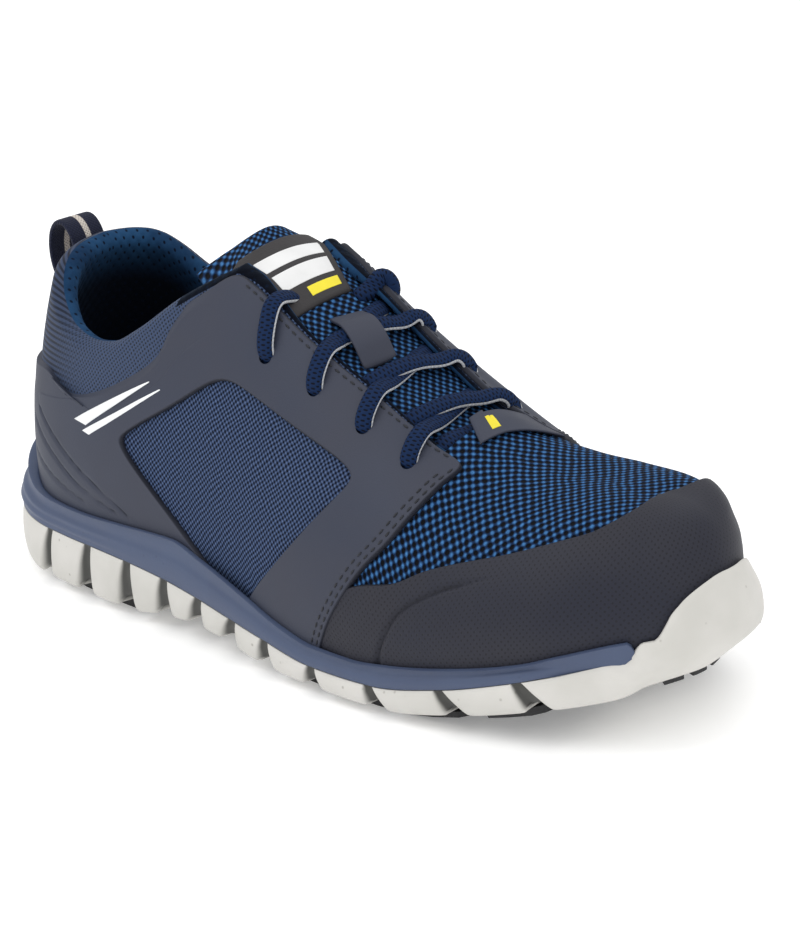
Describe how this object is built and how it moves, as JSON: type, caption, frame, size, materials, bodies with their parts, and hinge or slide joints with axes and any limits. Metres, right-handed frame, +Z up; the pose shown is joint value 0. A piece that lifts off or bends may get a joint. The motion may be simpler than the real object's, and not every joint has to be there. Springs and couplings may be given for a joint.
{
  "type": "safety shoe",
  "caption": "Low-cut laced safety shoe for the right foot: mesh upper with film overlays and toe cap, padded collar, heel pull loop and a grooved flexible sole.",
  "frame": {"origin": "on the ground under the middle of the shoe's box", "axes": "+X from heel to toe, +Y to the medial (inner) side, +Z up"},
  "size_m": [0.305, 0.1068, 0.123],
  "materials": {
    "vamp_mesh": "open mesh over black backing",
    "overlay": "matte microfibre film",
    "webbing": "woven tape with a pale stripe",
    "label": "matte",
    "lace": "flat woven lace with pale edges",
    "lining": "velour",
    "band": "matte moulded foam",
    "pods": "matte moulded foam",
    "tread": "matte rubber"
  },
  "bodies": {
    "root": {"upper": "vamp_mesh", "tongue": "vamp_mesh", "toe_cap": "overlay", "quarter_lateral": "overlay", "quarter_medial": "overlay", "lace_keeper": "overlay", "throat_tag": "overlay", "heel_tape": "webbing", "pull_loop": "webbing", "tongue_label": "label", "lace_bar": "lace", "lace_cross_low": "lace", "lace_cross_mid": "lace", "lace_cross_top": "lace", "lace_end_lateral": "lace", "lace_end_medial": "lace", "insole": "lining", "midsole": "band", "outsole": "pods", "tread_heel_1_lateral": "tread", "tread_heel_1_medial": "tread", "tread_heel_2_lateral": "tread", "tread_heel_2_medial": "tread", "tread_heel_3_lateral": "tread", "tread_heel_3_medial": "tread", "tread_fore_1_lateral": "tread", "tread_fore_1_medial": "tread", "tread_fore_2_lateral": "tread", "tread_fore_2_medial": "tread", "tread_fore_3_lateral": "tread", "tread_fore_3_medial": "tread", "tread_toe_lateral": "tread", "tread_toe_medial": "tread"}
  },
  "joints": []
}
